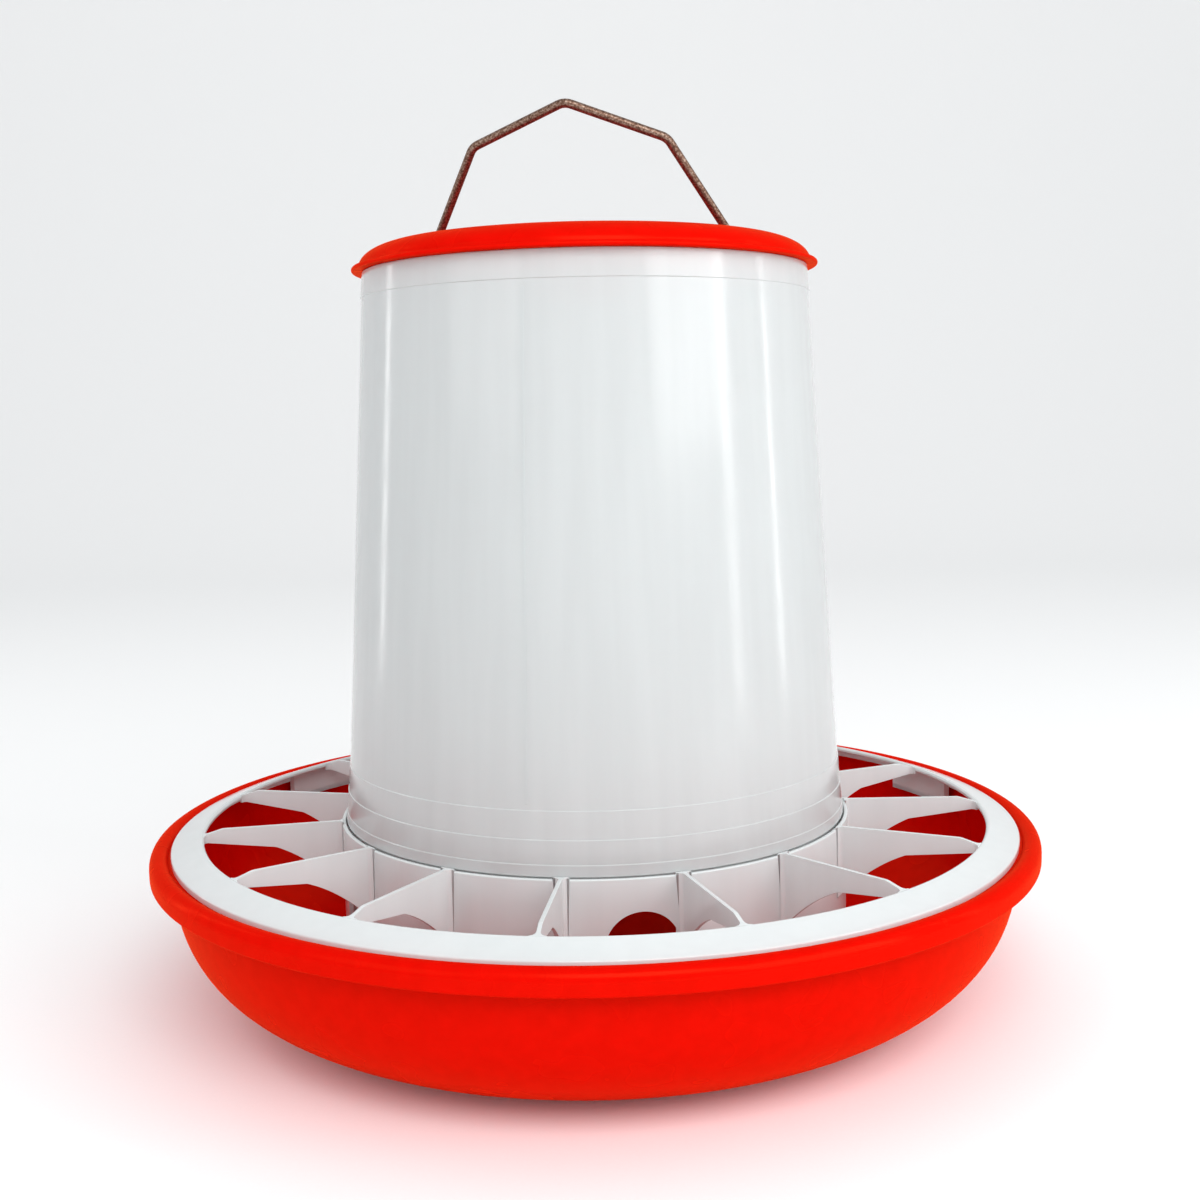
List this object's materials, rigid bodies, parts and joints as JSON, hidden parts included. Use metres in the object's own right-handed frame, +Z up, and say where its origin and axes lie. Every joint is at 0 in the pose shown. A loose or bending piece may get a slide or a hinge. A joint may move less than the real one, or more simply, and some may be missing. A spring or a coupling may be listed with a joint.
{
  "type": "gravity poultry feeder",
  "caption": "Round gravity feeder for poultry: red trough with a white feeding grill, tapered white hopper, red lid and a bent wire bail.",
  "frame": {"origin": "centre of the trough's footprint, on the floor", "axes": "+Z up along the hopper's axis; -Y is the front; the bail leans towards -Y"},
  "size_m": [0.3839, 0.384, 0.3763],
  "materials": {
    "red_shell": "glossy moulded polypropylene",
    "white_shell": "glossy moulded polypropylene",
    "steel_wire": "dull zinc-plated wire, browned"
  },
  "bodies": {
    "tray": {"tray_rim": "red_shell", "tray_wall_upper": "red_shell", "tray_wall_lower": "red_shell", "tray_floor": "red_shell", "tray_cone": "red_shell"},
    "grill": {"grill_ring": "white_shell", "grill_collar": "white_shell", "grill_vane_01": "white_shell", "grill_vane_02": "white_shell", "grill_vane_03": "white_shell", "grill_vane_04": "white_shell", "grill_vane_05": "white_shell", "grill_vane_06": "white_shell", "grill_vane_07": "white_shell", "grill_vane_08": "white_shell", "grill_vane_09": "white_shell", "grill_vane_10": "white_shell", "grill_vane_11": "white_shell", "grill_vane_12": "white_shell", "grill_vane_13": "white_shell", "grill_vane_14": "white_shell", "grill_vane_15": "white_shell"},
    "hopper": {"hopper_shell": "white_shell"},
    "lid": {"lid_pan": "red_shell"},
    "bail": {"bail_wire": "steel_wire"}
  },
  "joints": [
    {"name": "grill_lift", "type": "slide", "parent": "tray", "child": "grill", "axis": [0, 0, 1], "range_m": [0, 0.1]},
    {"name": "hopper_twist", "type": "hinge", "parent": "grill", "child": "hopper", "pos_m": [0, 0, 0.07], "axis": [0, 0, 1], "range_deg": [0, 40]},
    {"name": "lid_lift", "type": "slide", "parent": "hopper", "child": "lid", "axis": [0, 0, 1], "range_m": [0, 0.12]},
    {"name": "bail_swing", "type": "hinge", "parent": "lid", "child": "bail", "pos_m": [0, 0, 0.308], "axis": [0.9848, -0.1736, 0], "range_deg": [-118, 57]}
  ]
}
